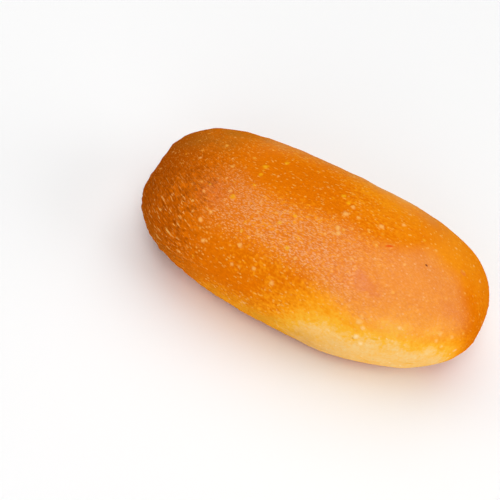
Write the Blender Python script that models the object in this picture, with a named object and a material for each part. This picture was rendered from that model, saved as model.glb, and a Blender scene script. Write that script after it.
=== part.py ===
"""A baked piroshki: an oval turnover of yeast dough, shut all round, with a browned crust.

It is one piece of food, and so one solid. The long axis runs along X, with the blunt end at -X
and the rounder end at +X. It rests on its flat underside at Z = 0, centred on the origin, and
its near flank faces -Y.
"""

import math

import bmesh
import bpy
from mathutils import Vector, noise

# Driving dimensions of the whole bun, in metres.
LENGTH = 0.120
WIDTH = 0.061
HEIGHT = 0.042

# The flanks stand out furthest at this share of the height.
WAIST = 0.42

# Squareness of the outline from above, at each corner: 2 is an ellipse, 4 nearly a rectangle.
FAR_BLUNT_CORNER = 3.5
FAR_ROUND_CORNER = 3.0
NEAR_BLUNT_CORNER = 2.8
NEAR_ROUND_CORNER = 2.1

# How quickly one corner passes into the next, along the bun and across it.
ALONG_PASSING = 2.0
ACROSS_PASSING = 3.0

# Squareness of a slice across the bun.
SLICE = 2.15

# The outline widens by this share of its half width from the middle to the round end.
TAPER = 0.030

# The underside: the dough would sag this many times deeper than the tray lets it, so it spreads
# flat, and the turn from the flank starts at this share of the depth.
SAG = 1.4
TURN_START = 0.70

# Lumps that the hand left, each as the direction from the heart (in half lengths, half widths
# and half heights), how far the skin rises there as a share of its distance, and the spread.
LUMPS = {
    "far corner of the blunt end": (Vector((-0.80, 0.50, 0.30)), 0.008, 0.33),
    "hollow on the far side": (Vector((-0.42, 0.70, 0.57)), -0.012, 0.33),
    "slack of the near flank, round end": (Vector((0.79, -0.45, -0.41)), -0.008, 0.33),
    "slack of the near flank, blunt end": (Vector((-0.38, -0.81, -0.46)), -0.013, 0.33),
    "flat of the crown": (Vector((-0.25, -0.10, 0.96)), -0.020, 0.40),
    "swelling over the filling": (Vector((0.45, -0.15, 0.88)), 0.018, 0.38),
}

# Slow unevenness of the skin: the pitch of its swells, and how far they rise.
UNEVEN_PITCH = 0.017
UNEVEN_RISE = 0.00035

# The folds into which the skin shrank round the blunt end: their pitch, how much longer than wide
# they are, how far they rise, and the places along X where they start and are at their full rise.
FOLD_PITCH = 0.0060
FOLD_STRETCH = 2.6
FOLD_RISE = 0.00025
FOLDS_START = -0.030
FOLDS_FULL = -0.050

# Heights between which this relief grows from nothing on the tray to its full rise.
RELIEF_START = 0.0015
RELIEF_FULL = 0.0080

# Cells of the skin along each side of the cage that it is drawn from.
CELLS = (40, 28, 20)

CRUST_COLOUR = (0.80, 0.27, 0.025, 1.0)
CRUST_ROUGHNESS = 0.42


def ease(value, start, end):
    """0 at start and 1 at end, with a smooth rise between them."""
    share = min(max((value - start) / (end - start), 0.0), 1.0)
    return share * share * (3.0 - 2.0 * share)


def blend(low, high, share):
    """low where share is -1, high where it is +1."""
    return (low + high) / 2 + (high - low) / 2 * share


def cage():
    """A cube of side 2 whose faces are cut into cells."""
    skin = bmesh.new()
    bmesh.ops.create_cube(skin, size=2.0)
    for axis, cells in enumerate(CELLS):
        along = [
            edge for edge in skin.edges
            if abs(edge.verts[0].co[axis] - edge.verts[1].co[axis]) > 1.0
        ]
        bmesh.ops.subdivide_edges(skin, edges=along, cuts=cells - 1)
    return skin


def way_from_heart(corner):
    """Spreads a point of the cube's surface over a ball, which keeps the cells of nearly one size."""
    xx, yy, zz = (value * value for value in corner)
    return Vector((
        corner.x * math.sqrt(1 - yy / 2 - zz / 2 + yy * zz / 3),
        corner.y * math.sqrt(1 - xx / 2 - zz / 2 + xx * zz / 3),
        corner.z * math.sqrt(1 - xx / 2 - yy / 2 + xx * yy / 3),
    ))


def lump_factor(way):
    """How much further than the plain form the skin lies in this direction."""
    factor = 1.0
    for centre, rise, spread in LUMPS.values():
        factor *= 1 + rise * math.exp((way.dot(centre.normalized()) - 1) / spread ** 2)
    return factor


def resting_depth(depth):
    """Depth below the waist once the tray has pressed the sagging dough flat, as a share."""
    if depth < TURN_START:
        return depth
    if depth > 2 - TURN_START:
        return 1.0
    return depth - (depth - TURN_START) ** 2 / (4 * (1 - TURN_START))


def form_point(way):
    """The point of the plain form in one direction from the heart of the bun."""
    to_round_end = math.tanh(ALONG_PASSING * way.x)
    near = blend(NEAR_BLUNT_CORNER, NEAR_ROUND_CORNER, to_round_end)
    far = blend(FAR_BLUNT_CORNER, FAR_ROUND_CORNER, to_round_end)
    corner = blend(near, far, math.tanh(ACROSS_PASSING * way.y))
    plan = abs(way.x) ** corner + abs(way.y) ** corner
    reach = (plan ** (SLICE / corner) + abs(way.z) ** SLICE) ** (-1 / SLICE)
    x, y, z = way * (reach * lump_factor(way))
    waist_height = HEIGHT * WAIST
    if z > 0:
        height = waist_height + z * (HEIGHT - waist_height)
    else:
        height = waist_height * (1 - resting_depth(-z * SAG))
    return Vector((x * LENGTH / 2, y * WIDTH / 2 * (1 + TAPER * x), height))


def relief(place):
    """How far the skin stands out from the plain form, in metres."""
    uneven = UNEVEN_RISE * noise.noise(place / UNEVEN_PITCH)
    along_fold = Vector((place.x / FOLD_STRETCH, place.y, place.z)) / FOLD_PITCH
    fold = FOLD_RISE * (1 - 2 * abs(noise.noise(along_fold)))
    folds_here = ease(place.x, FOLDS_START, FOLDS_FULL)
    return (uneven + fold * folds_here) * ease(place.z, RELIEF_START, RELIEF_FULL)


def raise_relief(skin):
    """Moves each vertex out along its normal."""
    skin.normal_update()
    moves = [(vertex, vertex.normal * relief(vertex.co)) for vertex in skin.verts]
    for vertex, move in moves:
        vertex.co += move


def fit_to_size(skin):
    """Brings the finished skin to the driving dimensions, on Z = 0 and centred on the origin."""
    low = Vector([min(vertex.co[axis] for vertex in skin.verts) for axis in range(3)])
    high = Vector([max(vertex.co[axis] for vertex in skin.verts) for axis in range(3)])
    foot = Vector(((low.x + high.x) / 2, (low.y + high.y) / 2, low.z))
    size = high - low
    bmesh.ops.translate(skin, vec=-foot, verts=skin.verts)
    scale = (LENGTH / size.x, WIDTH / size.y, HEIGHT / size.z)
    bmesh.ops.scale(skin, vec=scale, verts=skin.verts)


def crust_material():
    """Egg-washed crust: a warm orange brown with a soft gloss."""
    material = bpy.data.materials.new("baked_crust")
    material.use_nodes = True
    shader = material.node_tree.nodes["Principled BSDF"]
    shader.inputs["Base Color"].default_value = CRUST_COLOUR
    shader.inputs["Roughness"].default_value = CRUST_ROUGHNESS
    shader.inputs["Metallic"].default_value = 0.0
    material.diffuse_color = CRUST_COLOUR
    return material


def make_piroshki():
    """The whole bun, as one closed skin."""
    skin = cage()
    for vertex in skin.verts:
        vertex.co = form_point(way_from_heart(vertex.co))
    raise_relief(skin)
    fit_to_size(skin)
    mesh = bpy.data.meshes.new("piroshki")
    skin.to_mesh(mesh)
    skin.free()
    mesh.shade_smooth()
    mesh.materials.append(crust_material())
    bun = bpy.data.objects.new("piroshki", mesh)
    bpy.context.scene.collection.objects.link(bun)
    return bun


def clear_scene():
    """Removes what the scene holds at the start."""
    for thing in list(bpy.data.objects):
        bpy.data.objects.remove(thing)


clear_scene()
make_piroshki()
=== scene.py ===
"""A baked piroshki: its crust, and the floor, light and camera that show it.

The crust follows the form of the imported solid. Its wrinkles, lumps and blisters are relief in the
mesh, and only its finest grain is bump. Its colours come from nodes that read the bun's own
coordinates and what the mesh keeps at its vertices.
"""

import math
import random

import bmesh
import bpy
from bpy.props import (
    FloatProperty,
    FloatVectorProperty,
    IntProperty,
    IntVectorProperty,
    PointerProperty,
)
from bpy.types import Operator, Panel, PropertyGroup
from mathutils import Matrix, Vector, kdtree, noise


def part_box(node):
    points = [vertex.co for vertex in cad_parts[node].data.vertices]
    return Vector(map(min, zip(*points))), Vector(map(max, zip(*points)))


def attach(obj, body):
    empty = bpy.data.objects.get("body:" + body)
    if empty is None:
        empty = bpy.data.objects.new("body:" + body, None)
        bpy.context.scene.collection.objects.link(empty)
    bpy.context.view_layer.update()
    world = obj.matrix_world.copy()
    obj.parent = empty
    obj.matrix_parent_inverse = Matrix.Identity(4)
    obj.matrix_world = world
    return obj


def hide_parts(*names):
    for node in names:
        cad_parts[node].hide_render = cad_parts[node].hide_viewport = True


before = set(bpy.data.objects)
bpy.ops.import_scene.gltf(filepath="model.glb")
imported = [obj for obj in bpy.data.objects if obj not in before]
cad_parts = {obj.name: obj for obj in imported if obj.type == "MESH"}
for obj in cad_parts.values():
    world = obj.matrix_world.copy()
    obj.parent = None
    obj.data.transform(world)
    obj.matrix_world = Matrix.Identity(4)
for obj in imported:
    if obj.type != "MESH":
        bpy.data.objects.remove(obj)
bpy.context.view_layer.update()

bl_info = {
    "name": "Piroshki",
    "version": (1, 0, 0),
    "blender": (4, 5, 0),
    "location": "3D View > Sidebar > Piroshki",
    "description": "Builds a baked piroshki's crust, and the stage that shows it",
    "category": "Add Mesh",
}

NODE = "piroshki"
CRUST_SLOT = "baked_crust"
LOW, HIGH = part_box(NODE)
LENGTH, WIDTH, HEIGHT = HIGH - LOW
MM = 0.001

# Round the blunt end the skin shrank into broad folds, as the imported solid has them: how much
# longer than wide they are, and where along the bun they start and are at their full height.
FOLD_STRETCH = 2.6
FOLDS_START = -30 * MM
FOLDS_FULL = -50 * MM

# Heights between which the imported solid's relief, and the finer one, grow from nothing.
RELIEF_START = 1.5 * MM
RELIEF_FULL = 8 * MM
FINE_START = 1 * MM
FINE_FULL = 5 * MM

# The wrinkles run along the bun. From this place to the blunt end they turn towards the near
# flank, and their slope grows by this much for each metre.
TURN = -27 * MM
BEND = 36.0

# How far the wrinkles stray from that course, and the distance between one bend and the next.
STRAY = 0.8 * MM
STRAY_PITCH = 9 * MM

# Where a streak reads its noise, as shares of half its reach, and the factor that gives back the
# height which the averaging takes.
STREAK_STEPS = (-1.0, -0.67, -0.33, 0.0, 0.33, 0.67, 1.0)
STREAK_GAIN = 3.2

# How round the bottom of a crease is, and the ridged height that comes out level with the skin.
CREASE_ROUNDNESS = 0.02
CREASE_LEVEL = 0.35

# Lumps that the hand left, each as the direction from the heart (in half lengths, half widths
# and half heights), how far the skin rises there as a share of its distance, and the spread.
LUMPS = {
    "far corner of the blunt end": (Vector((-0.80, 0.50, 0.30)), 0.008, 0.33),
    "hollow on the far side": (Vector((-0.42, 0.70, 0.57)), -0.012, 0.33),
    "slack of the near flank, round end": (Vector((0.79, -0.45, -0.41)), -0.008, 0.33),
    "slack of the near flank, blunt end": (Vector((-0.38, -0.81, -0.46)), -0.013, 0.33),
    "flat of the crown": (Vector((-0.25, -0.10, 0.96)), -0.020, 0.40),
    "swelling over the filling": (Vector((0.45, -0.15, 0.88)), 0.018, 0.38),
}

# The blisters that stand out most: the place on the skin, to the nearest millimetre from the
# middle of the foot, and the radius in millimetres.
GOLDEN_BLISTERS = (
    ((-25, 4, 40), 1.1), ((-25, 0, 40), 0.8), ((-25, -5, 40), 0.6), ((-29, -12, 38), 0.9),
    ((-38, -10, 36), 0.5), ((-20, 9, 40), 0.8), ((-12, -14, 39), 0.7), ((-6, -20, 37), 0.8),
    ((2, 6, 42), 0.9), ((4, 4, 42), 0.8), ((46, 6, 34), 0.6),
)
PALE_BLISTERS = (
    ((-46, 0, 34), 0.5), ((-36, 3, 37), 0.5), ((-34, -6, 38), 0.5), ((-31, -10, 38), 0.7),
    ((-35, -21, 32), 0.9), ((-33, -18, 34), 0.7), ((-31, -25, 28), 0.9), ((-20, -24, 33), 0.8),
    ((-20, 2, 41), 0.5), ((-20, -27, 27), 0.7), ((-13, -27, 29), 0.7), ((-6, -28, 28), 0.9),
    ((1, 20, 37), 0.6), ((2, -11, 41), 0.6), ((5, -1, 42), 1.2), ((6, 3, 42), 0.8),
    ((9, 0, 42), 0.7), ((5, -7, 41), 1.0), ((6, -9, 41), 0.9), ((13, -14, 39), 0.6),
    ((17, 1, 42), 1.1), ((23, 7, 41), 0.8), ((22, -4, 41), 0.9), ((29, -7, 40), 0.6),
    ((41, 12, 35), 0.6), ((49, 12, 32), 0.5), ((53, 9, 30), 0.7), ((24, -25, 30), 0.7),
    ((24, -26, 28), 1.1), ((26, -27, 27), 0.9), ((25, -28, 23), 1.0), ((27, -28, 21), 1.0),
    ((36, -22, 29), 0.6), ((48, -16, 28), 0.9), ((52, -14, 26), 0.7), ((48, -18, 26), 0.7),
)

# The scattered blisters: the height that they lie above, and the powers that make most of them
# small, and most of them rather pale than golden.
BLISTERS_ABOVE = 9 * MM
MOSTLY_SMALL = 2.6
MOSTLY_PALE = 1.5

# A blister's dome: how many radii out it has faded, how uneven its rim is, and how many times as
# far a bulge of the rim may reach.
BLISTER_FADE = 1.5
BLISTER_UNEVENNESS = 0.55
BLISTER_BULGE = 1.3

# Blushes seen from above: the middle and the half sizes in millimetres, the strength, and the way
# in which their edges wander along and across the bun.
BLUSHES = (
    ((21.8, -18.8), (4.6, 2.6), 0.34, (1, -1)),
    ((-34.5, -12.0), (5.5, 4.5), 0.15, (-1, -1)),
    ((46.7, -9.1), (3.6, 2.6), 0.14, (-1, 1)),
    ((46.6, 5.4), (1.2, 1.0), 0.30, (0, 0)),
)

# Small marks on the crown, seen from above, and on the near flank, along it and up it: the middle
# and the half sizes in millimetres, and the strength. The toasted one lies aslant, so its place
# across counts from a line that runs half as far across the bun as along it.
TOASTED_SLANT = 0.5
TOASTED_MARKS = (((22.0, -15.0), (1.3, 0.65), 1.0),)
CROWN_SPECKS = (((35.0, -2.3), (0.50, 0.34), 1.0),)
FLANK_SPECKS = (((24.5, 22.1), (0.35, 0.35), 0.25), ((33.1, 13.8), (0.3, 0.3), 0.25))
FLANK_DRIPS = (((30.5, 24.0), (1.2, 0.6), 0.8), ((44.0, 14.8), (1.8, 0.5), 0.7))

# Roughness of the egg wash's coat, and the depth of the grain that is too fine for the mesh.
COAT_ROUGHNESS = 0.30
BUMP_DEPTH = 0.40 * MM

# The lights: the direction that each comes from, its distance and its side in metres, the setting
# that holds its power, and whether gloss shows it.
LIGHTS = {
    "soft_light": ((-0.16, 0.40, 1.0), 1.1, 1.4, "soft_power", False),
    "key_light": ((0.05, -0.42, 0.90), 1.05, 0.45, "key_power", True),
    "front_light": ((0.12, -1.0, 0.32), 1.2, 1.2, "fill_power", False),
    "round_end_light": ((1.0, 0.15, 0.45), 1.2, 0.8, "side_power", False),
    "blunt_end_light": ((-1.0, -0.2, 0.35), 1.2, 0.5, "blunt_power", True),
}

# Width of the camera's sensor, in millimetres.
SENSOR_WIDTH = 36.0


class FormSettings(PropertyGroup):
    """The plain form of the bun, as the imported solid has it."""

    waist: FloatProperty(
        name="Waist", description="Height at which the flanks stand out furthest, as a share",
        default=0.42, min=0.2, max=0.7, subtype="FACTOR")
    far_blunt_corner: FloatProperty(
        name="Far blunt corner", description="Squareness from above: 2 is an ellipse", default=3.5)
    far_round_corner: FloatProperty(
        name="Far round corner", description="Squareness from above: 2 is an ellipse", default=3.0)
    near_blunt_corner: FloatProperty(
        name="Near blunt corner", description="Squareness from above: 2 is an ellipse", default=2.8)
    near_round_corner: FloatProperty(
        name="Near round corner", description="Squareness from above: 2 is an ellipse", default=2.1)
    along_passing: FloatProperty(
        name="Passing along", description="How quickly one end's corners pass into the other's",
        default=2.0)
    across_passing: FloatProperty(
        name="Passing across", description="How quickly the near corners pass into the far ones",
        default=3.0)
    slice: FloatProperty(
        name="Slice", description="Squareness of a slice across the bun", default=2.15)
    taper: FloatProperty(
        name="Taper", description="Widening towards the round end, as a share of the half width",
        default=0.030)
    sag: FloatProperty(
        name="Sag", description="How much deeper the dough would sag with no tray", default=1.4)
    turn_start: FloatProperty(
        name="Turn start", description="Share of the depth where the turn to the underside starts",
        default=0.70, subtype="FACTOR")
    uneven_pitch: FloatProperty(
        name="Swell pitch", description="Distance between the slow swells of the skin",
        default=17 * MM, subtype="DISTANCE", precision=4)
    uneven_rise: FloatProperty(
        name="Swell rise", description="Height of the slow swells",
        default=0.35 * MM, subtype="DISTANCE", precision=5)
    cells: IntVectorProperty(
        name="Cells", description="Cells of the skin along, across and up the bun",
        default=(183, 125, 87), size=3)


class SkinSettings(PropertyGroup):
    """The relief of the skin: folds, wrinkles, fine ridges, lumps and blisters."""

    fold_pitch: FloatProperty(
        name="Fold pitch", description="Distance between the broad folds of the blunt end",
        default=6.0 * MM, subtype="DISTANCE", precision=4)
    fold_rise: FloatProperty(
        name="Fold rise", description="Height of the broad folds",
        default=0.25 * MM, subtype="DISTANCE", precision=5)
    wrinkle_pitch: FloatProperty(
        name="Wrinkle pitch", description="Distance between the wrinkles of the blunt end",
        default=1.6 * MM, subtype="DISTANCE", precision=4)
    wrinkle_rise: FloatProperty(
        name="Wrinkle rise", description="Height of those wrinkles",
        default=0.42 * MM, subtype="DISTANCE", precision=5)
    grain_pitch: FloatProperty(
        name="Grain pitch", description="Distance between the fine ridges all over the crust",
        default=0.62 * MM, subtype="DISTANCE", precision=4)
    grain_rise: FloatProperty(
        name="Grain rise", description="Height of the fine ridges",
        default=0.09 * MM, subtype="DISTANCE", precision=5)
    lump_pitch: FloatProperty(
        name="Lump pitch", description="Distance between the small lumps of the skin",
        default=6.5 * MM, subtype="DISTANCE", precision=4)
    lump_rise: FloatProperty(
        name="Lump rise", description="Height of the small lumps",
        default=0.20 * MM, subtype="DISTANCE", precision=5)
    blister_count: IntProperty(
        name="Blisters", description="How many scattered blisters the skin has", default=560)
    blister_least: FloatProperty(
        name="Least blister", description="Radius of the smallest blister",
        default=0.24 * MM, subtype="DISTANCE", precision=5)
    blister_most: FloatProperty(
        name="Largest blister", description="Radius of the largest of the scattered blisters",
        default=0.75 * MM, subtype="DISTANCE", precision=5)
    blister_rise: FloatProperty(
        name="Blister rise", description="Height of a blister as a share of its radius",
        default=0.22, subtype="FACTOR")
    seed: IntProperty(name="Seed", description="Seed of the scattered blisters", default=7)


class BakeSettings(PropertyGroup):
    """The dough's colours from the oven, painted sheen, glints and shade, and the egg wash's gloss.
    """

    dough: FloatVectorProperty(
        name="Dough", description="Flank that the oven hardly coloured",
        default=(0.93, 0.63, 0.27), size=3, subtype="COLOR", min=0, max=1)
    straw: FloatVectorProperty(
        name="Straw", description="Pale yellow edge of that flank",
        default=(0.96, 0.47, 0.035), size=3, subtype="COLOR", min=0, max=1)
    golden: FloatVectorProperty(
        name="Golden", description="Lightest crust",
        default=(0.95, 0.33, 0.008), size=3, subtype="COLOR", min=0, max=1)
    orange: FloatVectorProperty(
        name="Orange", description="Most of the crust",
        default=(0.78, 0.180, 0.0012), size=3, subtype="COLOR", min=0, max=1)
    amber: FloatVectorProperty(
        name="Amber", description="Well baked crust",
        default=(0.70, 0.148, 0.0008), size=3, subtype="COLOR", min=0, max=1)
    brown: FloatVectorProperty(
        name="Brown", description="Darkest crust, at the blunt end",
        default=(0.50, 0.094, 0.0006), size=3, subtype="COLOR", min=0, max=1)
    pale_blister: FloatVectorProperty(
        name="Pale blister", description="Thin dry dough over most blisters",
        default=(0.95, 0.50, 0.13), size=3, subtype="COLOR", min=0, max=1)
    bare_blister: FloatVectorProperty(
        name="Bare blister", description="The same on the flank that the oven hardly coloured",
        default=(0.99, 0.74, 0.40), size=3, subtype="COLOR", min=0, max=1)
    golden_blister: FloatVectorProperty(
        name="Golden blister", description="Thin glazed dough over the others",
        default=(0.90, 0.42, 0.008), size=3, subtype="COLOR", min=0, max=1)
    # Painted sheen and glints: the pale cast over the sheen zone, and the crests' glints in it.
    sheen_fleck: FloatVectorProperty(
        name="Pale fleck", description="Dry crests of the finest wrinkles, on the near shoulder",
        default=(0.90, 0.45, 0.18), size=3, subtype="COLOR", min=0, max=1)
    # Partly painted glints: the paler dry crests outside the sheen zone.
    warm_fleck: FloatVectorProperty(
        name="Warm fleck", description="The same crests on the rest of the crust",
        default=(0.95, 0.45, 0.070), size=3, subtype="COLOR", min=0, max=1)
    # Painted shade on the far shoulder and at the near foot.
    rim_shade_colour: FloatVectorProperty(
        name="Dull rim", description="Far shoulder and near foot, where the egg wash ran thin",
        default=(0.42, 0.160, 0.014), size=3, subtype="COLOR", min=0, max=1)
    # Painted highlight on the crests of the blunt end's wrinkles.
    crest_highlight: FloatVectorProperty(
        name="Ridge fleck", description="Dry crests of the wrinkles at the blunt end",
        default=(0.85, 0.42, 0.09), size=3, subtype="COLOR", min=0, max=1)
    blush: FloatVectorProperty(
        name="Blush", description="Reddish patches where the filling shows through",
        default=(0.70, 0.15, 0.060), size=3, subtype="COLOR", min=0, max=1)
    # Painted shade: the colour of the creases between the blunt end's wrinkles, and of the painted
    # shadow on its tip.
    crease: FloatVectorProperty(
        name="Crease", description="Shaded creases of the blunt end, and its tip",
        default=(0.26, 0.045, 0.001), size=3, subtype="COLOR", min=0, max=1)
    toasted: FloatVectorProperty(
        name="Toasted", description="Small mark that browned more than the crust round it",
        default=(0.80, 0.11, 0.003), size=3, subtype="COLOR", min=0, max=1)
    scorch: FloatVectorProperty(
        name="Scorch", description="Tiny scorched specks",
        default=(0.20, 0.012, 0.006), size=3, subtype="COLOR", min=0, max=1)
    roughness: FloatProperty(
        name="Roughness", description="Roughness of the crust under the egg wash", default=0.30)
    gloss: FloatProperty(
        name="Gloss", description="Share of the egg wash's coat where it is thickest", default=0.75)


class StageSettings(PropertyGroup):
    """The floor, the light and the camera."""

    floor_colour: FloatVectorProperty(
        name="Floor", description="Colour of the plain floor",
        default=(0.95, 0.95, 0.95), size=3, subtype="COLOR", min=0, max=1)
    floor_side: FloatProperty(
        name="Floor side", description="Side of the square floor", default=4.0, subtype="DISTANCE")
    soft_power: FloatProperty(
        name="Soft light", description="Power of the large overhead light, in watts", default=9.5)
    key_power: FloatProperty(
        name="Key light", description="Power of the small light that gives the glints, in watts",
        default=2.1)
    fill_power: FloatProperty(
        name="Fill light", description="Power of the light near the camera, in watts", default=8.0)
    side_power: FloatProperty(
        name="Side light", description="Power of the low light by the round end, in watts",
        default=4.8)
    blunt_power: FloatProperty(
        name="Blunt end light", description="Power of the low light by the blunt end, in watts",
        default=2.16)
    sky: FloatProperty(
        name="Surroundings", description="Brightness of the plain surroundings", default=0.10)
    azimuth: FloatProperty(
        name="Azimuth", description="Camera's turn round the bun from its broad side",
        default=math.radians(6.0), subtype="ANGLE")
    elevation: FloatProperty(
        name="Elevation", description="Camera's height above the horizon",
        default=math.radians(50.0), subtype="ANGLE")
    roll: FloatProperty(
        name="Roll", description="Camera's tilt about its own line of sight",
        default=math.radians(21.7), subtype="ANGLE")
    distance: FloatProperty(
        name="Distance", description="From the camera to the middle of the bun",
        default=0.4577, subtype="DISTANCE")
    lens: FloatProperty(
        name="Lens", description="Focal length in millimetres, on a sensor 36 mm wide",
        default=100.0)
    aim: FloatVectorProperty(
        name="Aim", description="Where the camera looks, right of and above the bun's middle",
        default=(-22.0 * MM, -1.8 * MM), size=2, subtype="TRANSLATION", precision=4)


def ease(value, start, end):
    """0 at start and 1 at end, with a smooth rise between them."""
    share = min(max((value - start) / (end - start), 0.0), 1.0)
    return share * share * (3.0 - 2.0 * share)


def blend(low, high, share):
    """low where share is -1, high where it is +1."""
    return (low + high) / 2 + (high - low) / 2 * share


def cage(cells):
    """A cube of side 2 whose faces are cut into cells."""
    skin = bmesh.new()
    bmesh.ops.create_cube(skin, size=2.0)
    for axis, count in enumerate(cells):
        along = [
            edge for edge in skin.edges
            if abs(edge.verts[0].co[axis] - edge.verts[1].co[axis]) > 1.0
        ]
        bmesh.ops.subdivide_edges(skin, edges=along, cuts=count - 1)
    return skin


def way_from_heart(corner):
    """Spreads a point of the cube's surface over a ball, with cells of nearly one size."""
    xx, yy, zz = (value * value for value in corner)
    return Vector((
        corner.x * math.sqrt(1 - yy / 2 - zz / 2 + yy * zz / 3),
        corner.y * math.sqrt(1 - xx / 2 - zz / 2 + xx * zz / 3),
        corner.z * math.sqrt(1 - xx / 2 - yy / 2 + xx * yy / 3),
    ))


def lump_factor(way):
    """How much further than the plain form the skin lies in this direction."""
    factor = 1.0
    for centre, rise, spread in LUMPS.values():
        factor *= 1 + rise * math.exp((way.dot(centre.normalized()) - 1) / spread ** 2)
    return factor


def resting_depth(depth, turn_start):
    """Depth below the waist once the tray has pressed the sagging dough flat, as a share."""
    if depth < turn_start:
        return depth
    if depth > 2 - turn_start:
        return 1.0
    return depth - (depth - turn_start) ** 2 / (4 * (1 - turn_start))


def form_point(way, form):
    """The point of the plain form in one direction from the heart of the bun."""
    to_round_end = math.tanh(form.along_passing * way.x)
    near = blend(form.near_blunt_corner, form.near_round_corner, to_round_end)
    far = blend(form.far_blunt_corner, form.far_round_corner, to_round_end)
    corner = blend(near, far, math.tanh(form.across_passing * way.y))
    plan = abs(way.x) ** corner + abs(way.y) ** corner
    reach = (plan ** (form.slice / corner) + abs(way.z) ** form.slice) ** (-1 / form.slice)
    x, y, z = way * (reach * lump_factor(way))
    waist_height = HEIGHT * form.waist
    if z > 0:
        height = waist_height + z * (HEIGHT - waist_height)
    else:
        height = waist_height * (1 - resting_depth(-z * form.sag, form.turn_start))
    return Vector((x * LENGTH / 2, y * WIDTH / 2 * (1 + form.taper * x), height))


def wrinkle_way(place, normal):
    """The direction that the wrinkles follow here, over skin that faces this way."""
    level = Vector((1.0, -BEND * max(TURN - place.x, 0.0), 0.0)).normalized()
    along = level - normal * level.dot(normal)
    return along.normalized() if along.length > 0.2 else level


def streak(place, way, pitch, reach):
    """Noise of this pitch, drawn out along a direction over this reach. It lies about -1 to 1."""
    total = 0.0
    for step in STREAK_STEPS:
        total += noise.noise((place + way * (step * reach / 2)) / pitch)
    return STREAK_GAIN * total / len(STREAK_STEPS)


def crease(value):
    """A ridged height from a streak's value: rounded crests, with narrow creases between them."""
    return math.sqrt(value * value + CREASE_ROUNDNESS) - CREASE_LEVEL


def plain_relief(place, form, skin):
    """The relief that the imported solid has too: slow swells, and the blunt end's broad folds."""
    uneven = form.uneven_rise * noise.noise(place / form.uneven_pitch)
    along_fold = Vector((place.x / FOLD_STRETCH, place.y, place.z)) / skin.fold_pitch
    fold = skin.fold_rise * (1 - 2 * abs(noise.noise(along_fold)))
    folds_here = ease(place.x, FOLDS_START, FOLDS_FULL)
    return (uneven + fold * folds_here) * ease(place.z, RELIEF_START, RELIEF_FULL)


def strayed(place):
    """This place, moved a little by slow noise, so that no wrinkle runs quite straight.

    Each axis reads plain noise at a spot of its own, because noise_vector starts from the clock.
    """
    spots = [place / STRAY_PITCH + Vector((apart, 0.0, 0.0)) for apart in (0.0, 31.4, 62.8)]
    return place + Vector([noise.noise(spot) for spot in spots]) * STRAY


def wrinkled_share(place):
    """How strongly the skin is wrinkled here: fully on the near side of the blunt end."""
    near = 0.25 + 0.75 * ease(-place.y, -6 * MM, 9 * MM)
    tip = 1 - 0.35 * ease(place.x, -52 * MM, -59 * MM)
    return ease(place.x, -14 * MM, -44 * MM) * near * tip


def grained_share(place, wrinkled):
    """How strongly the fine ridges show here: least at the round end and on the far side."""
    patchy = 0.75 + 0.5 * noise.noise(place / (11 * MM))
    along = 1 - 0.62 * ease(place.x, 0.0, 34 * MM)
    across = 1 - 0.35 * ease(place.y, 0.0, 12 * MM)
    return along * across * patchy * (1 - 0.35 * wrinkled)


def fine_relief(place, normal, skin):
    """(Height of the wrinkles, fine ridges and lumps, tint of the first two for the colours)."""
    way = wrinkle_way(place, normal)
    bent = strayed(place)
    wrinkled = wrinkled_share(place)
    grained = grained_share(place, wrinkled)
    coarse = crease(streak(bent, way, skin.wrinkle_pitch, 1.5 * skin.wrinkle_pitch))
    fine = streak(bent, way, skin.grain_pitch, 0.9 * skin.grain_pitch)
    height = skin.wrinkle_rise * coarse * wrinkled + skin.grain_rise * fine * grained
    height += skin.lump_rise * noise.noise(place / skin.lump_pitch)
    tint = 1.1 * coarse * wrinkled + 0.7 * fine * grained
    above_tray = ease(place.z, FINE_START, FINE_FULL)
    return height * above_tray, tint * above_tray


def move_out(skin, height_of):
    """Moves each vertex out along its normal, by the height that it is given."""
    skin.normal_update()
    moves = [(vertex, vertex.normal * height_of(vertex)) for vertex in skin.verts]
    for vertex, move in moves:
        vertex.co += move


def fit_to_size(skin):
    """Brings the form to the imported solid's size, on Z = 0 and centred on the origin."""
    low = Vector([min(vertex.co[axis] for vertex in skin.verts) for axis in range(3)])
    high = Vector([max(vertex.co[axis] for vertex in skin.verts) for axis in range(3)])
    foot = Vector(((low.x + high.x) / 2, (low.y + high.y) / 2, low.z))
    size = high - low
    bmesh.ops.translate(skin, vec=-foot, verts=skin.verts)
    bmesh.ops.scale(skin, vec=(LENGTH / size.x, WIDTH / size.y, HEIGHT / size.z), verts=skin.verts)


def raise_fine_relief(skin, settings):
    """Raises the fine relief, and keeps its tint in a layer for the colours."""
    tint_layer = skin.verts.layers.float.new("fold_tint")

    def height_of(vertex):
        height, vertex[tint_layer] = fine_relief(vertex.co, vertex.normal, settings)
        return height

    move_out(skin, height_of)


def blister_list(settings, upper):
    """(Place, radius, strength of the colour, share of gold in it) of each blister."""
    blisters = [(Vector(place) * MM, radius * MM, 1.0, 1.0) for place, radius in GOLDEN_BLISTERS]
    blisters += [(Vector(place) * MM, radius * MM, 0.9, 0.0) for place, radius in PALE_BLISTERS]
    draw = random.Random(settings.seed)
    spare = settings.blister_most - settings.blister_least
    for _ in range(settings.blister_count):
        radius = settings.blister_least + spare * draw.random() ** MOSTLY_SMALL
        place = upper[draw.randrange(len(upper))]
        strength = 0.35 + 0.55 * draw.random()
        blisters.append((place, radius, strength, draw.random() ** MOSTLY_PALE))
    return blisters


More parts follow.
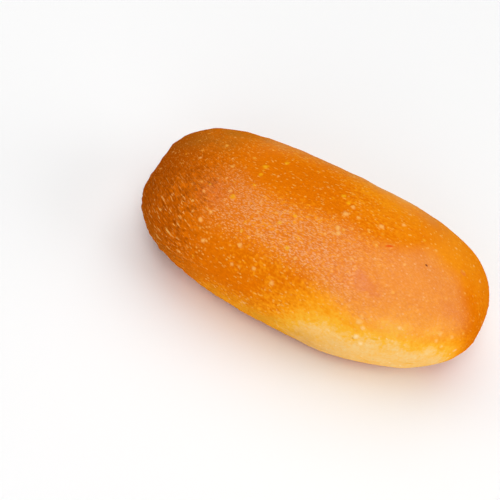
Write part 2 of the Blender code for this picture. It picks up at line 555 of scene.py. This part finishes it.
def raise_blisters(skin, settings):
    """Raises the blisters, and keeps where they are in layers for the colours."""
    blister_layer = skin.verts.layers.float.new("blister")
    gold_layer = skin.verts.layers.float.new("blister_gold")
    skin.verts.ensure_lookup_table()
    skin.normal_update()
    nearby = kdtree.KDTree(len(skin.verts))
    for vertex in skin.verts:
        nearby.insert(vertex.co, vertex.index)
    nearby.balance()
    upper = [vertex.co.copy() for vertex in skin.verts if vertex.co.z > BLISTERS_ABOVE]
    heights = {}
    for place, radius, strength, gold in blister_list(settings, upper):
        middle = nearby.find(place)[0]
        reach = BLISTER_FADE * radius
        for near_place, index, distance in nearby.find_range(middle, BLISTER_BULGE * reach):
            rim = noise.noise(near_place / (0.9 * radius) + place / MM)
            outward = distance * (1 + BLISTER_UNEVENNESS * rim) / reach
            dome = (1 - min(outward, 1.0) ** 2) ** 2
            vertex = skin.verts[index]
            if strength * dome > vertex[blister_layer]:
                vertex[blister_layer] = strength * dome
                vertex[gold_layer] = gold
            height = settings.blister_rise * radius * dome
            heights[index] = max(heights.get(index, 0.0), height)
    for index, height in heights.items():
        vertex = skin.verts[index]
        vertex.co += vertex.normal * height


class Signal:
    """A number on its way through a material's nodes, so that shader maths reads as Python."""

    def __init__(self, finish, socket):
        self.finish = finish
        self.socket = socket

    def maths(self, operation, *values):
        """A Math node on these values, as a new signal."""
        inputs = {index: value for index, value in enumerate(values)}
        node = self.finish.node("ShaderNodeMath", {"operation": operation}, inputs)
        return Signal(self.finish, node.outputs[0])

    def __add__(self, other):
        return self.maths("ADD", self, other)

    __radd__ = __add__

    def __sub__(self, other):
        return self.maths("SUBTRACT", self, other)

    def __rsub__(self, other):
        return self.maths("SUBTRACT", other, self)

    def __mul__(self, other):
        return self.maths("MULTIPLY", self, other)

    __rmul__ = __mul__

    def __truediv__(self, other):
        return self.maths("DIVIDE", self, other)

    def __neg__(self):
        return self.maths("MULTIPLY", self, -1.0)

    def most(self, other):
        """The larger of the two."""
        return self.maths("MAXIMUM", self, other)

    def exp(self):
        """e to the power of this signal."""
        return self.maths("EXPONENT", self)

    def bell(self, middle, spread):
        """1 at the middle, falling off on both sides over the spread."""
        offset = (self - middle) / spread
        return (-(offset * offset)).exp()

    def rise(self, start, end):
        """0 at start and 1 at end, with a smooth rise between them."""
        node = self.finish.node(
            "ShaderNodeMapRange",
            {"interpolation_type": "SMOOTHSTEP", "clamp": True},
            {"Value": self, "From Min": start, "From Max": end, "To Min": 0.0, "To Max": 1.0},
        )
        return Signal(self.finish, node.outputs["Result"])


class Finish:
    """A material under construction."""

    def __init__(self, name):
        self.material = bpy.data.materials.new(name)
        self.material.use_nodes = True
        self.tree = self.material.node_tree
        self.tree.nodes.clear()
        self.output = self.node("ShaderNodeOutputMaterial")

    def node(self, kind, settings=None, inputs=None):
        """A node of this kind: its settings first, then the values or links of its sockets."""
        node = self.tree.nodes.new(kind)
        for name, value in (settings or {}).items():
            if name == "stops":
                self.set_stops(node.color_ramp, value)
            else:
                setattr(node, name, value)
        for name, value in (inputs or {}).items():
            self.feed(node.inputs[name], value)
        return node

    def set_stops(self, ramp, stops):
        """Gives a colour ramp its stops, each a place from 0 to 1 and a colour."""
        while len(ramp.elements) > 1:
            ramp.elements.remove(ramp.elements[-1])
        for index, (place, colour) in enumerate(stops):
            element = ramp.elements[0] if index == 0 else ramp.elements.new(place)
            element.position = place
            element.color = (*colour, 1.0)

    def feed(self, socket, value):
        """Links a signal or another node's socket to this one, or sets its value or colour."""
        if isinstance(value, Signal):
            value = value.socket
        if isinstance(value, bpy.types.NodeSocket):
            self.tree.links.new(value, socket)
        elif socket.type == "RGBA":
            socket.default_value = (*value, 1.0)
        else:
            socket.default_value = value

    def signal(self, kind, output, settings=None, inputs=None):
        """A node's output as a signal."""
        return Signal(self, self.node(kind, settings, inputs).outputs[output])

    def noise(self, place, pitch, detail=2.0, roughness=0.55):
        """Noise about 0, between -1 and 1, whose features lie about this pitch apart."""
        fac = self.signal(
            "ShaderNodeTexNoise", "Fac", {"noise_dimensions": "3D"},
            {"Vector": place, "Scale": 1 / pitch, "Detail": detail, "Roughness": roughness},
        )
        return 2.0 * fac - 1.0

    def mix(self, factor, low, high):
        """The colour low where factor is 0, high where it is 1."""
        node = self.node(
            "ShaderNodeMix", {"data_type": "RGBA", "clamp_factor": True},
            {"Factor": factor, 6: low, 7: high},
        )
        return node.outputs[2]


class CrustFinish(Finish):
    """The crust's material, and what its masks read.

    x, y and z are places along the bun, across it and up, in millimetres, as is course, which
    follows the wrinkles. place is in metres.
    """

    def __init__(self):
        super().__init__(CRUST_SLOT)
        self.place = self.node("ShaderNodeTexCoord").outputs["Object"]
        in_mm = self.node(
            "ShaderNodeVectorMath", {"operation": "SCALE"}, {0: self.place, "Scale": 1 / MM})
        axes = self.node("ShaderNodeSeparateXYZ", {}, {"Vector": in_mm.outputs["Vector"]})
        self.x, self.y, self.z = (Signal(self, axes.outputs[name]) for name in "XYZ")
        self.course = self.wrinkle_course()
        self.mottle = self.noise(self.place, 15 * MM, 2.0)
        self.cloud = self.noise(self.place, 4.5 * MM, 3.0)
        self.grain = self.noise(self.place, 1.1 * MM, 2.0)
        self.scattered = 0.78 + 0.7 * self.wrinkle_noise(1.1, 0.45)
        self.above_foot = self.z.rise(4.0, 14.0)

    def layer(self, name):
        """What the mesh keeps at its vertices under this name."""
        return self.signal("ShaderNodeAttribute", "Fac", {"attribute_name": name})

    def wrinkle_course(self):
        """Each place by how far it lies across the wrinkles, along them and up."""
        past_turn = (TURN / MM - self.x).most(0.0)
        across = self.y - 0.5 * BEND * MM * past_turn * past_turn
        course = self.node(
            "ShaderNodeCombineXYZ", {}, {"X": across, "Y": self.x, "Z": 0.8 * self.z})
        return course.outputs["Vector"]

    def drawn_out(self, squeeze):
        """That course squeezed, so that marks are longer than wide, by one over the squeeze."""
        drawn = self.node(
            "ShaderNodeVectorMath", {"operation": "MULTIPLY"},
            {0: self.course, 1: (1.0, squeeze, 1.0)},
        )
        return drawn.outputs["Vector"]

    def wrinkle_noise(self, pitch, squeeze):
        """Noise about 0, drawn out along the wrinkles."""
        return self.noise(self.drawn_out(squeeze), pitch, 1.0, 0.5)

    def strewn(self, pitch, squeeze, edge, soft):
        """Marks strewn over the skin, each of its own brightness up to 1, and 0 between them."""
        cell = self.node(
            "ShaderNodeTexVoronoi", {"voronoi_dimensions": "3D", "feature": "F1"},
            {"Vector": self.drawn_out(squeeze), "Scale": 1 / pitch},
        )
        chance = self.node("ShaderNodeSeparateColor", {}, {"Color": cell.outputs["Color"]})
        mark = Signal(self, cell.outputs["Distance"]).rise(edge + soft, edge - soft)
        return mark * (0.35 + 0.65 * Signal(self, chance.outputs["Red"]))


def spot(along, across, middle, half_sizes):
    """1 at the middle of a round mark, fading to 0 a little outside its half sizes."""
    far_across = (across - middle[1]) / half_sizes[1]
    far_along = (along - middle[0]) / half_sizes[0]
    return 1.0 - (far_across * far_across + far_along * far_along).rise(0.0, 1.6)


def spots(along, across, marks):
    """All the marks of a list, each as strong as it says. On a flank, across stands for up."""
    return sum(
        strength * spot(along, across, middle, half_sizes)
        for middle, half_sizes, strength in marks
    )


# Below, the numbers that x, y, z and sums with them give to bell and rise are millimetres.


def pale_foot(crust):
    """1 where the oven hardly coloured the flanks, 0 on the crust above their ragged edges."""
    x, y = crust.x, crust.y
    ragged = crust.z + 2.2 * crust.mottle + 3.4 * crust.cloud + 2.6 * crust.grain
    near_edge = (
        11.0 + 15.5 * x.bell(32.0, 38.0) - 4.0 * x.rise(8.0, -2.0) + 4.4 * x.bell(-20.0, 11.0)
        + 2.0 * x.bell(8.0, 4.5) - 2.4 * x.bell(25.0, 6.0) - 2.0 * x.bell(42.0, 6.0)
    )
    near_side = y.rise(-6.0, -17.0) * (0.54 * x.rise(-46.0, -26.0) + 0.46 * x.rise(-3.0, 14.0))
    near_pale = (near_edge - ragged).rise(-9.0, 6.0) * near_side * x.rise(62.0, 51.0)
    far_edge = 11.0 + 7.0 * x.bell(6.0, 34.0)
    far_side = y.rise(6.0, 16.0) * x.rise(-46.0, -28.0) * x.rise(56.0, 42.0)
    far_pale = (far_edge - ragged).rise(-5.0, 6.0) * far_side
    return 1.0 - (1.0 - near_pale) * (1.0 - 0.8 * far_pale)


def doneness(crust, fold, pale):
    """How far each place is baked: 0 is pale dough, 1 is the darkest crust."""
    x, y, z = crust.x, crust.y, crust.z
    from_blunt_end = x + 9.0 * y.rise(-8.0, 4.0)
    towards_blunt_end = 0.44 * from_blunt_end.rise(-16.0, -56.0) + 0.05 * x.rise(40.0, 58.0)
    crown = 0.10 * x.rise(12.0, -6.0) * y.rise(-8.0, 2.0) * y.rise(16.0, 8.0)
    low_near_side = y.rise(-8.0, -16.0) * (z - 4.0 * x.rise(-2.0, 8.0)).rise(32.0, 24.0)
    near_flank = low_near_side * (0.215 * x.rise(-16.0, 2.0) - 0.075)
    far_flank = (
        0.04 * y.rise(-2.0, 6.0) * x.rise(-12.0, 6.0) * x.rise(34.0, 16.0)
        + 0.045 * y.rise(8.0, 13.0) * x.bell(13.0, 9.0)
    )
    light_end = 0.03 * x.rise(2.0, 30.0) + 0.06 * x.rise(28.0, 40.0) * y.rise(-4.0, 8.0)
    browned = 0.60 + towards_blunt_end + crown - near_flank - far_flank - light_end
    # The last term is painted shade in the wrinkles' valleys and painted highlight on their crests.
    browned = browned + 0.05 * crust.mottle + 0.05 * crust.cloud - 0.14 * fold
    browned = browned + (0.035 + 0.08 * x.rise(12.0, -8.0)) * crust.grain
    baked = browned * (1.0 - 0.78 * pale) + pale * (0.10 * crust.grain + 0.10 * crust.cloud)
    tray = (z + 0.8 * crust.cloud).rise(4.0, 1.0)
    return baked * (1.0 - tray) + (0.74 + 0.05 * crust.cloud) * tray


def sheen_zone(crust):
    """1 where the sheen is, painted into the colour and given as coat: near shoulder, crown by the
    round end.
    """
    x, y, z = crust.x, crust.y, crust.z
    lower_edge = 34.5 - 7.5 * x.rise(-4.0, 34.0) - 1.5 * x.rise(-18.0, -34.0)
    far_edge = (
        3.0 * x.rise(-10.0, 12.0) - 2.5 * x.bell(15.0, 6.0) - 7.5
        + 6.0 * x.bell(-34.0, 9.0) + 7.5 * x.bell(35.0, 7.0) + 6.0 * x.bell(46.0, 5.0)
    )
    between = (far_edge - y).rise(-5.0, 4.0) * (z - lower_edge).rise(-3.0, 3.0)
    return between * x.rise(-52.0, -22.0) * (x + 0.75 * y).rise(54.0, 42.0)


def glint_flecks(crust, sheen, crinkled):
    """(Sheen glints, sparse flecks elsewhere): dry crests of the finest wrinkles, partly painted
    glints.
    """
    x, y = crust.x, crust.y
    sheen_glints = crust.strewn(0.42, 0.42, 0.16 + 0.32 * sheen, 0.09) * sheen.rise(0.0, 0.25)
    dots = crust.strewn(1.5, 0.75, 0.20, 0.05)
    strokes = crust.strewn(1.1, 0.30, 0.19, 0.05) * x.rise(36.0, 12.0)
    grains = 0.85 * crust.strewn(0.8, 0.60, 0.27, 0.08) * x.rise(-22.0, -38.0)
    few = 0.9 * crust.above_foot * (1.0 - 0.8 * x.rise(-30.0, -44.0) * y.rise(-6.0, 4.0))
    fewer = few * (1.0 - 0.55 * x.rise(38.0, 50.0))
    sparse = (dots.most(strokes) * fewer).most(grains * crust.above_foot * crust.scattered)
    return sheen_glints * crust.scattered * crinkled * crust.above_foot, sparse


def wrinkle_lines(crust, dashes, fold, wrinkled):
    """(Crests, creases between them) of the blunt end's wrinkles, for painted highlight and painted
    shade.
    """
    lines = dashes + 0.15 * fold
    crests = lines.rise(0.26, 0.44) * crust.above_foot * wrinkled
    near_crests = crests * (0.35 + 0.65 * crust.y.rise(-8.0, -20.0)) * crust.scattered
    return near_crests, lines.rise(-0.06, -0.30) * crust.above_foot * wrinkled


def rim_shade_and_sheen(crust):
    """(Painted shade: far shoulder, near foot; paler far shoulder: painted reflection, partly pale
    dough).
    """
    x, y, z = crust.x, crust.y, crust.z
    far_shoulder = y.rise(0.0, 10.0) * z.rise(40.0, 34.0) * z.rise(20.0, 30.0)
    near_foot_shade = 0.27 * z.rise(22.5, 10.5) * y.rise(0.0, -12.0) * x.rise(34.0, 10.0)
    patchy = 1.0 + 1.4 * crust.noise(crust.place, 7.0 * MM, 3.0)
    rim_shade = far_shoulder * (0.20 + 0.18 * x.rise(-20.0, -44.0) - 0.15 * x.rise(28.0, 44.0))
    rim_sheen = 0.14 * x.rise(30.0, 16.0) + 0.18 * x.bell(22.0, 12.0)
    return (rim_shade + near_foot_shade) * patchy, far_shoulder * x.rise(-36.0, -24.0) * rim_sheen * patchy


def blister_tint(crust, bake, pale):
    """The colour of the thin dough over the blisters."""
    gold = crust.layer("blister_gold")
    thin_dough = crust.mix(pale.rise(0.1, 0.6), bake.pale_blister, bake.bare_blister)
    return crust.mix(gold * (1.0 - pale), thin_dough, bake.golden_blister)


def marks(crust, bake):
    """(Where, colour) of the blushes, the toasted mark, the drips and the scorched specks."""
    x, y, z = crust.x, crust.y, crust.z
    crown = z.rise(18.0, 24.0)
    near_flank = y.rise(-15.0, -20.0)
    wander = 5.0 * crust.noise(crust.place, 4.0 * MM, 2.0)
    blushes = sum(
        strength * spot(x + along * wander, y + across * wander, middle, half_sizes)
        for middle, half_sizes, strength, (along, across) in BLUSHES
    )
    specks = spots(x, y, CROWN_SPECKS) * crown + spots(x, z, FLANK_SPECKS) * near_flank
    return (
        (blushes * crown, bake.blush),
        (spots(x, y - TOASTED_SLANT * x, TOASTED_MARKS) * crown, bake.toasted),
        (spots(x, z, FLANK_DRIPS) * near_flank, bake.golden_blister),
        (specks, bake.scorch),
    )


def crust_finish(bake):
    """Egg-washed crust: pale dough to brown, with blisters, blushes and a few scorched specks."""
    crust = CrustFinish()
    x, y = crust.x, crust.y
    fold = crust.layer("fold_tint")
    skin_grain = crust.wrinkle_noise(0.42, 0.42)
    dashes = crust.wrinkle_noise(0.60, 0.20)
    pale = pale_foot(crust)
    sheen = sheen_zone(crust)
    wrinkled = x.rise(-28.0, -42.0) * y.rise(3.0, -9.0)
    smooth = (0.68 * x.rise(-4.0, 30.0)).most(0.45 * y.rise(0.0, 16.0)).most(0.45 * pale)
    crinkled = 1.0 - smooth
    sheen_glints, sparse = glint_flecks(crust, sheen, crinkled)
    flecks = sheen_glints.most(sparse) * (1.0 - 0.7 * wrinkled)
    crests, creases = wrinkle_lines(crust, dashes, fold, wrinkled)
    rim_shade, rim_sheen = rim_shade_and_sheen(crust)

    stops = (
        (0.0, bake.dough), (0.22, bake.straw), (0.42, bake.golden),
        (0.62, bake.orange), (0.80, bake.amber), (1.0, bake.brown),
    )
    done = doneness(crust, fold, pale) - 0.20 * skin_grain * x.rise(-20.0, -45.0)
    colour = crust.node("ShaderNodeValToRGB", {"stops": stops}, {"Fac": done}).outputs["Color"]
    # What lies over the baked colour, from the lowest layer up: how strongly, and its own colour.
    layers = (
        # Painted shade in the creases of the blunt end's wrinkles.
        (0.42 * creases, bake.crease),
        # Painted sheen: a pale cast over the sheen zone, stronger towards the round end.
        (sheen * (0.05 + 0.16 * x.rise(-6.0, 38.0)), bake.sheen_fleck),
        # Paler dry crests, partly painted glints; in the sheen zone they take the painted glint
        # colour.
        (0.76 * flecks, crust.mix(sheen, bake.warm_fleck, bake.sheen_fleck)),
        # Painted highlight on the crests of the blunt end's wrinkles.
        (0.90 * crests, bake.crest_highlight),
        # Painted shade on the far shoulder and at the near foot.
        (rim_shade, bake.rim_shade_colour),
        # Painted shadow darkening the tip of the blunt end.
        (0.40 * x.rise(-47.0, -59.0), bake.crease),
        # Painted reflection: paler skin along the far shoulder, partly pale dough.
        (rim_sheen, bake.dough),
        (0.75 * crust.layer("blister").rise(0.05, 0.95), blister_tint(crust, bake, pale)),
        *marks(crust, bake),
    )
    for where, tint in layers:
        colour = crust.mix(where, colour, tint)

    fine = 0.30 * skin_grain + 0.25 * flecks
    height = fine * crinkled * (1.0 - wrinkled) + 0.9 * dashes * wrinkled
    bump = crust.node(
        "ShaderNodeBump", {}, {"Strength": 1.0, "Distance": BUMP_DEPTH, "Height": height})
    washed = 0.4 * sheen * x.rise(-20.0, 24.0)
    shader = crust.node(
        "ShaderNodeBsdfPrincipled", {},
        {
            "Base Color": colour,
            "Roughness": bake.roughness + 0.20 * pale - 0.10 * fold,
            "Normal": bump.outputs["Normal"],
            "Coat Weight": (sheen_glints + 0.35 * sparse + crests + washed) * bake.gloss,
            "Coat Roughness": COAT_ROUGHNESS,
            "Specular IOR Level": 0.0,
        },
    )
    crust.feed(crust.output.inputs["Surface"], shader.outputs["BSDF"])
    return crust.material


def floor_finish(colour):
    """Plain matt floor."""
    finish = Finish("pale_floor")
    place = finish.node("ShaderNodeTexCoord").outputs["Object"]
    roughness = 0.85 + 0.05 * finish.noise(place, 50 * MM)
    shader = finish.node(
        "ShaderNodeBsdfPrincipled", {},
        {"Base Color": colour, "Roughness": roughness, "Specular IOR Level": 0.2},
    )
    finish.feed(finish.output.inputs["Surface"], shader.outputs["BSDF"])
    return finish.material


def add_mesh_object(name, skin):
    """A smooth object at the origin from a bmesh, which is freed."""
    mesh = bpy.data.meshes.new(name)
    skin.to_mesh(mesh)
    skin.free()
    mesh.shade_smooth()
    piece = bpy.data.objects.new(name, mesh)
    bpy.context.scene.collection.objects.link(piece)
    return piece


def add_area_light(name, way, distance, side, power, glints):
    """A square light in one direction from the bun, facing it, and whether gloss shows it."""
    light = bpy.data.lights.new(name, "AREA")
    light.shape = "SQUARE"
    light.size = side
    light.energy = power
    lamp = bpy.data.objects.new(name, light)
    lamp.location = Vector(way).normalized() * distance
    lamp.rotation_euler = Vector(way).to_track_quat("Z", "Y").to_euler()
    lamp.visible_glossy = glints
    bpy.context.scene.collection.objects.link(lamp)


class PIROSHKI_OT_crust(Operator):
    """Make the crust of the bun, and give it its finish"""

    bl_idname = "piroshki.crust"
    bl_label = "Crust"

    def execute(self, context):
        form, skin_settings = context.scene.piroshki_form, context.scene.piroshki_skin
        skin = cage(form.cells)
        for vertex in skin.verts:
            vertex.co = form_point(way_from_heart(vertex.co), form)
        move_out(skin, lambda vertex: plain_relief(vertex.co, form, skin_settings))
        fit_to_size(skin)
        raise_fine_relief(skin, skin_settings)
        raise_blisters(skin, skin_settings)
        crust = add_mesh_object("crust", skin)
        crust.data.materials.append(crust_finish(context.scene.piroshki_bake))
        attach(crust, "root")
        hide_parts(NODE)
        return {"FINISHED"}


class PIROSHKI_OT_stage(Operator):
    """Make the floor, the lights, the surroundings and the camera"""

    bl_idname = "piroshki.stage"
    bl_label = "Stage"

    def execute(self, context):
        stage = context.scene.piroshki_stage
        self.make_floor(stage)
        self.make_light(context.scene, stage)
        self.make_camera(context.scene, stage)
        return {"FINISHED"}

    def make_floor(self, stage):
        """A level square under the bun."""
        ground = bmesh.new()
        bmesh.ops.create_grid(ground, x_segments=2, y_segments=2, size=stage.floor_side / 2)
        floor = add_mesh_object("floor", ground)
        floor.data.materials.append(floor_finish(stage.floor_colour))
        floor.visible_glossy = False

    def make_light(self, scene, stage):
        """A large soft light, a small one for the glints, three low ones, and dim surroundings."""
        for name, (way, distance, side, power, glints) in LIGHTS.items():
            add_area_light(name, way, distance, side, getattr(stage, power), glints)
        world = bpy.data.worlds.new("surroundings")
        world.use_nodes = True
        background = world.node_tree.nodes["Background"]
        background.inputs["Strength"].default_value = stage.sky
        background.inputs["Color"].default_value = (1.0, 1.0, 1.0, 1.0)
        world.cycles_visibility.glossy = False
        scene.world = world
        scene.view_settings.view_transform = "Standard"

    def make_camera(self, scene, stage):
        """The camera, turned about its line of sight so that the bun lies aslant."""
        data = bpy.data.cameras.new("camera")
        data.lens = stage.lens
        data.sensor_width = SENSOR_WIDTH
        camera = bpy.data.objects.new("camera", data)
        turn, height = stage.azimuth, stage.elevation
        level = Vector((math.cos(turn), math.sin(turn), 0.0))
        back = Vector((
            math.sin(turn) * math.cos(height), -math.cos(turn) * math.cos(height), math.sin(height)
        ))
        upright = back.cross(level)
        right = level * math.cos(stage.roll) + upright * math.sin(stage.roll)
        up = upright * math.cos(stage.roll) - level * math.sin(stage.roll)
        heart = Vector((0.0, 0.0, HEIGHT / 2))
        camera.location = heart + back * stage.distance
        aim = heart + right * stage.aim[0] + up * stage.aim[1]
        away = (camera.location - aim).normalized()
        sideways = up.cross(away).normalized()
        turned = Matrix((sideways, away.cross(sideways), away)).transposed()
        camera.rotation_euler = turned.to_euler()
        scene.collection.objects.link(camera)
        scene.camera = camera


class PIROSHKI_PT_panel(Panel):
    """Sizes, colours and the buttons that make each piece"""

    bl_idname = "PIROSHKI_PT_panel"
    bl_label = "Piroshki"
    bl_space_type = "VIEW_3D"
    bl_region_type = "UI"
    bl_category = "Piroshki"

    def draw(self, context):
        for name in GROUPS:
            group = getattr(context.scene, name)
            column = self.layout.column(heading=group.bl_rna.name)
            for setting in group.__annotations__:
                column.prop(group, setting)
        for operator in OPERATORS:
            self.layout.operator(operator.bl_idname)


GROUPS = {
    "piroshki_form": FormSettings,
    "piroshki_skin": SkinSettings,
    "piroshki_bake": BakeSettings,
    "piroshki_stage": StageSettings,
}
OPERATORS = (PIROSHKI_OT_crust, PIROSHKI_OT_stage)
CLASSES = (*GROUPS.values(), *OPERATORS, PIROSHKI_PT_panel)


def register():
    """Adds the classes, and their settings to the scene."""
    for one in CLASSES:
        bpy.utils.register_class(one)
    for name, group in GROUPS.items():
        setattr(bpy.types.Scene, name, PointerProperty(type=group))


def unregister():
    """Takes away what register added."""
    for name in GROUPS:
        delattr(bpy.types.Scene, name)
    for one in reversed(CLASSES):
        bpy.utils.unregister_class(one)


def main():
    """Makes every piece and the stage."""
    register()
    bpy.ops.piroshki.crust()
    bpy.ops.piroshki.stage()


if __name__ == "__main__":
    main()
